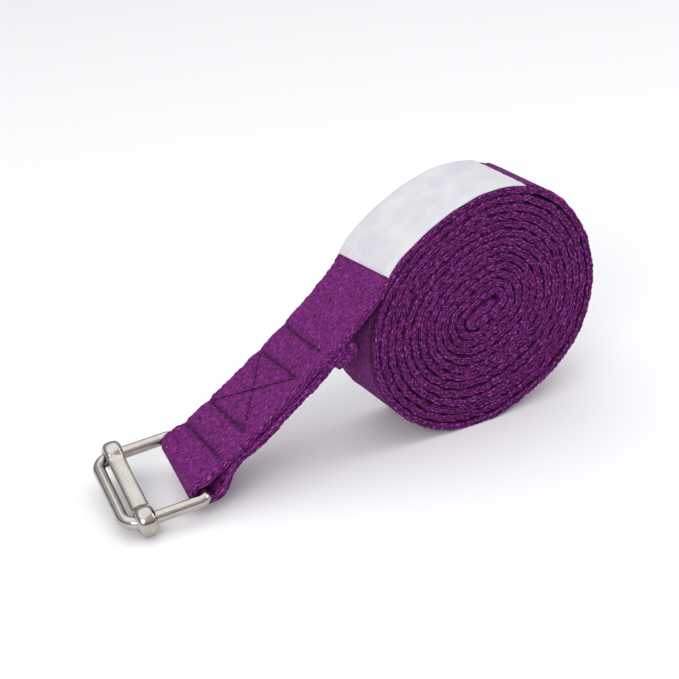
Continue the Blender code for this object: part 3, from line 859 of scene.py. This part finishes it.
def cotton_material():
    """Warp-faced melange cotton: fine ribs along the band, short floats, coloured flecks, and
    painted shade in its grooves and hollows.
    """
    n = Nodes("melange_cotton")
    u, v = n.uv()
    drift = n.math("MULTIPLY", n.noise(n.vector(u, n.math("MULTIPLY", v, 0.12)), 0.35, 2.0), 0.5)
    across = n.math("ADD", u, drift)
    rib_place = n.math("DIVIDE", across, RIB_PITCH)
    rib_number = n.math("FLOOR", rib_place)
    rib = n.math("ABSOLUTE", n.math("SINE", n.math("MULTIPLY", rib_place, math.pi)))
    rib = n.math("POWER", rib, 0.8)
    stagger = n.math("MULTIPLY", n.math("SINE", n.math("MULTIPLY", rib_number, 12.9898)), 3.1)
    float_place = n.math("ADD", n.math("DIVIDE", v, FLOAT_LENGTH), stagger)
    floats = n.math("ABSOLUTE", n.math("SINE", n.math("MULTIPLY", float_place, math.pi)))
    floats = n.math("POWER", floats, 0.5)
    yarn = n.math("MULTIPLY", rib, n.math("ADD", n.math("MULTIPLY", floats, 0.35), 0.65))
    strand_at = n.vector(n.math("MULTIPLY", across, 2.4), n.math("MULTIPLY", v, 0.6))
    strands = n.noise(strand_at, 1.0, 3.0)
    fibres = n.ramp(strands, (0.34, grey(0.0)), (0.66, grey(1.0)))
    fuzz = n.noise(n.vector(across, v, 3.0), 2.6, 3.0, 0.6)

    streak = n.noise(n.vector(rib_number, n.math("MULTIPLY", v, 0.20), 5.0), 1.37, 2.0, 0.6)
    colour = n.ramp(
        streak,
        (0.27, (0.125, 0.014, 0.175)),
        (0.42, (0.190, 0.018, 0.200)),
        (0.55, (0.250, 0.024, 0.245)),
        (0.68, (0.320, 0.024, 0.235)),
        (0.80, (0.205, 0.035, 0.320)),
    )
    patch = n.noise(n.vector(across, v, 9.0), 0.11, 2.0)
    patch_share = n.ramp(patch, (0.38, grey(0.0)), (0.66, grey(0.35)))
    colour = n.mix(patch_share, colour, (0.285, 0.028, 0.265))
    # painted shade factor from the webbing's points: darker in the hollows between loops, in the
    # stitched furrows and where turns meet
    painted_shade_factor = n.new("ShaderNodeAttribute", attribute_name="painted_shade_factor").outputs["Fac"]
    speck_at = n.vector(n.math("MULTIPLY", across, 1.7), n.math("MULTIPLY", v, 0.55), 2.0)
    speck = n.noise(speck_at, 0.95, 3.0, 0.68)
    # painted shade: dark in the grooves between ribs and between floats and under the painted
    # shade factor, with the strands' own light and dark tone
    shade = n.math("ADD", n.math("MULTIPLY", yarn, 1.05), n.math("MULTIPLY", fibres, 0.6))
    shade = n.math("SUBTRACT", shade, 0.10)
    shade = n.math("MULTIPLY", shade, n.math("ADD", n.math("MULTIPLY", painted_shade_factor, 0.85), 0.15))
    colour = n.mix(1.0, colour, n.ramp(shade, (0.0, grey(0.0)), (1.0, grey(1.0))), "MULTIPLY")
    contrast = n.ramp(speck, (0.36, grey(0.40)), (0.50, grey(0.78)), (0.62, grey(1.0)))
    colour = n.mix(1.0, colour, contrast, "MULTIPLY")
    turn = n.math("MODULO", u, EDGE_SPAN / MM)
    turn_share = n.math("DIVIDE", turn, SELVEDGE_REACH)
    selvedge = n.ramp(turn_share, (0.80, grey(1.0)), (1.0, grey(0.30)))
    colour = n.mix(1.0, colour, n.ramp(selvedge, (0.3, grey(0.86)), (1.0, grey(1.0))), "MULTIPLY")
    # pale lilac fibres, mostly on the edges and kept out of the painted shade: partly fibre
    # colour, partly a painted highlight on the loop crests
    pale = n.math("MULTIPLY", n.ramp(speck, (0.53, grey(0.0)), (0.66, grey(0.9))), painted_shade_factor)
    colour = n.mix(n.math("MULTIPLY", pale, selvedge), colour, (0.50, 0.125, 0.48))
    fleck_at = n.vector(n.math("MULTIPLY", across, 1.1), n.math("MULTIPLY", v, 0.42), 1.0)
    far, chance = n.cells(fleck_at, 0.52)
    split = n.new("ShaderNodeSeparateColor")
    n.put(split.inputs[0], chance)
    spot = n.math("LESS_THAN", far, 0.30)
    red = n.math("MULTIPLY", spot, n.math("GREATER_THAN", split.outputs[0], 0.987))
    blue = n.math("MULTIPLY", spot, n.math("LESS_THAN", split.outputs[0], 0.015))
    colour = n.mix(n.math("MULTIPLY", red, 0.8), colour, (0.40, 0.018, 0.085))
    colour = n.mix(n.math("MULTIPLY", blue, 0.6), colour, (0.075, 0.035, 0.25))
    dot, dot_chance = n.cells(n.vector(across, v, 4.0), 0.42)
    split_dot = n.new("ShaderNodeSeparateColor")
    n.put(split_dot.inputs[0], dot_chance)
    chosen = n.math("GREATER_THAN", split_dot.outputs[1], 0.965)
    white = n.math("MULTIPLY", n.math("LESS_THAN", dot, 0.085), chosen)
    colour = n.mix(n.math("MULTIPLY", white, 0.75), colour, (0.75, 0.68, 0.75))

    normal = n.bump(yarn, 0.00030, 0.85)
    normal = n.bump(fibres, 0.00010, 0.7, normal)
    normal = n.bump(fuzz, 0.00022, 0.6, normal)
    n.set(Base_Color=colour, Normal=normal, Roughness=0.95, Specular_IOR_Level=0.05)
    n.set(Sheen_Weight=0.12, Sheen_Roughness=0.42, Sheen_Tint=(0.85, 0.35, 0.85, 1.0))
    return n.material


def thread_material(name, colour, roughness):
    n = Nodes(name)
    place = n.new("ShaderNodeTexCoord").outputs["Object"]
    twist = n.noise(place, 2600.0, 2.0)
    dark, light = tuple(0.65 * c for c in colour), tuple(1.2 * c for c in colour)
    shade = n.ramp(twist, (0.3, dark), (0.7, light))
    n.set(Base_Color=shade, Normal=n.bump(twist, 0.00006, 0.6), Roughness=roughness)
    n.set(Specular_IOR_Level=0.15)
    return n.material


def label_material():
    """Smooth white ribbon: fine satin weave and faint lilac shading."""
    n = Nodes("white_ribbon")
    u, v = n.uv()
    weave_u = n.math("SINE", n.math("MULTIPLY", u, math.tau / 0.34))
    weave_v = n.math("SINE", n.math("MULTIPLY", v, math.tau / 0.30))
    weave = n.math("MULTIPLY", weave_u, weave_v)
    soft = n.noise(n.vector(u, v, 2.0), 0.09, 2.0)
    grain = n.noise(n.vector(n.math("MULTIPLY", u, 0.4), v, 7.0), 3.0, 2.0)
    colour = n.ramp(soft, (0.35, (0.60, 0.585, 0.625)), (0.65, (0.67, 0.665, 0.68)))
    colour = n.mix(n.math("MULTIPLY", grain, 0.12), colour, (0.50, 0.48, 0.55))
    normal = n.bump(weave, 0.00004, 0.6)
    normal = n.bump(soft, 0.0006, 0.5, normal)
    n.set(Base_Color=colour, Normal=normal, Roughness=0.62, Specular_IOR_Level=0.3)
    n.set(Sheen_Weight=0.15, Sheen_Roughness=0.3)
    return n.material


def nickel_material():
    """Polished nickel plate with faint buffing marks and a few duller patches."""
    n = Nodes("polished_nickel")
    place = n.new("ShaderNodeTexCoord").outputs["Object"]
    cloud = n.noise(place, 210.0, 3.0)
    fine = n.noise(place, 2400.0, 2.0)
    rough = n.new("ShaderNodeMapRange")
    n.put(rough.inputs["Value"], cloud)
    for key, value in (("From Min", 0.3), ("From Max", 0.75), ("To Min", 0.10), ("To Max", 0.22)):
        rough.inputs[key].default_value = value
    colour = n.ramp(cloud, (0.3, (0.43, 0.40, 0.36)), (0.7, (0.51, 0.48, 0.44)))
    normal = n.bump(fine, 0.00002, 0.25)
    n.set(Base_Color=colour, Metallic=1.0, Roughness=rough.outputs[0], Normal=normal)
    return n.material


# ---------------------------------------------------------------- studio


def floor():
    size = 9.0
    mesh = bpy.data.meshes.new("studio_floor")
    corners = [(-size, -size), (size, -size), (size, size), (-size, size)]
    mesh.from_pydata([(x, y, -0.0003) for x, y in corners], [], [(0, 1, 2, 3)])
    n = Nodes("pale_floor")
    n.set(Base_Color=(0.86, 0.86, 0.86, 1.0), Roughness=0.9, Specular_IOR_Level=0.1)
    obj = new_piece("studio_floor", mesh, n.material)


def softbox(name, place, target, size, power, colour=(1, 1, 1)):
    light = bpy.data.lights.new(name, "AREA")
    light.shape = "RECTANGLE"
    light.size, light.size_y = size
    light.energy = power
    light.color = colour
    obj = bpy.data.objects.new(name, light)
    obj.location = place
    obj.rotation_euler = (Vector(target) - Vector(place)).to_track_quat("-Z", "Y").to_euler()
    bpy.context.scene.collection.objects.link(obj)


def studio():
    floor()
    softbox("overhead", (-0.10, 0.15, 1.35), (0, 0, 0), (2.2, 1.8), 10.5)
    softbox("front_left", (-0.95, -0.95, 0.75), (0, 0, 0.03), (0.9, 0.7), 11.5, (1.0, 0.985, 0.97))
    softbox("right", (1.15, -0.35, 0.70), (0, 0, 0.04), (0.5, 0.9), 3.0)
    world = bpy.data.worlds.new("studio")
    world.use_nodes = True
    nodes, links = world.node_tree.nodes, world.node_tree.links
    way = nodes.new("ShaderNodeSeparateXYZ")
    links.new(nodes.new("ShaderNodeTexCoord").outputs["Generated"], way.inputs[0])
    sky = nodes.new("ShaderNodeValToRGB")
    links.new(way.outputs[2], sky.inputs[0])
    sky.color_ramp.elements[0].position, sky.color_ramp.elements[1].position = 0.10, 0.56
    sky.color_ramp.elements[0].color = (0.22, 0.22, 0.235, 1.0)
    sky.color_ramp.elements[1].color = (0.95, 0.95, 1.0, 1.0)
    links.new(sky.outputs[0], nodes["Background"].inputs["Color"])
    nodes["Background"].inputs["Strength"].default_value = 0.74
    bpy.context.scene.world = world
    bpy.context.scene.view_settings.view_transform = "Standard"


def camera():
    azimuth, elevation, roll = math.radians(-27.62), math.radians(25.95), math.radians(-4.2)
    distance, lens = 0.6753, 85.8
    left, below = 0.0504, 0.0172
    back = Vector((math.sin(azimuth) * math.cos(elevation),
                   -math.cos(azimuth) * math.cos(elevation), math.sin(elevation)))
    right = Vector((math.cos(azimuth), math.sin(azimuth), 0))
    up = back.cross(right)
    turned_right = math.cos(roll) * right + math.sin(roll) * up
    turned_up = -math.sin(roll) * right + math.cos(roll) * up
    target = Vector(ROLL_CENTRE) - left * turned_right - below * turned_up
    data = bpy.data.cameras.new("camera")
    data.lens, data.sensor_width = lens, 36.0
    data.clip_start, data.clip_end = 0.01, 20.0
    obj = bpy.data.objects.new("camera", data)
    axes = Matrix((turned_right, turned_up, back)).transposed()
    obj.matrix_world = Matrix.Translation(target + distance * back) @ axes.to_4x4()
    bpy.context.scene.collection.objects.link(obj)
    bpy.context.scene.camera = obj


def main():
    camera()
    studio()
    cotton = cotton_material()
    nickel = nickel_material()
    band = webbing(cotton)
    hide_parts("webbing")
    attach(band, "strap")
    seams = stitching(thread_material("maroon_thread", (0.045, 0.004, 0.036), 0.7))
    ribbon, route, ribbon_length = label(label_material())
    label_seams(route, thread_material("white_thread", (0.78, 0.76, 0.79), 0.7))
    wire_ring(nickel)
    slider(nickel)


main()
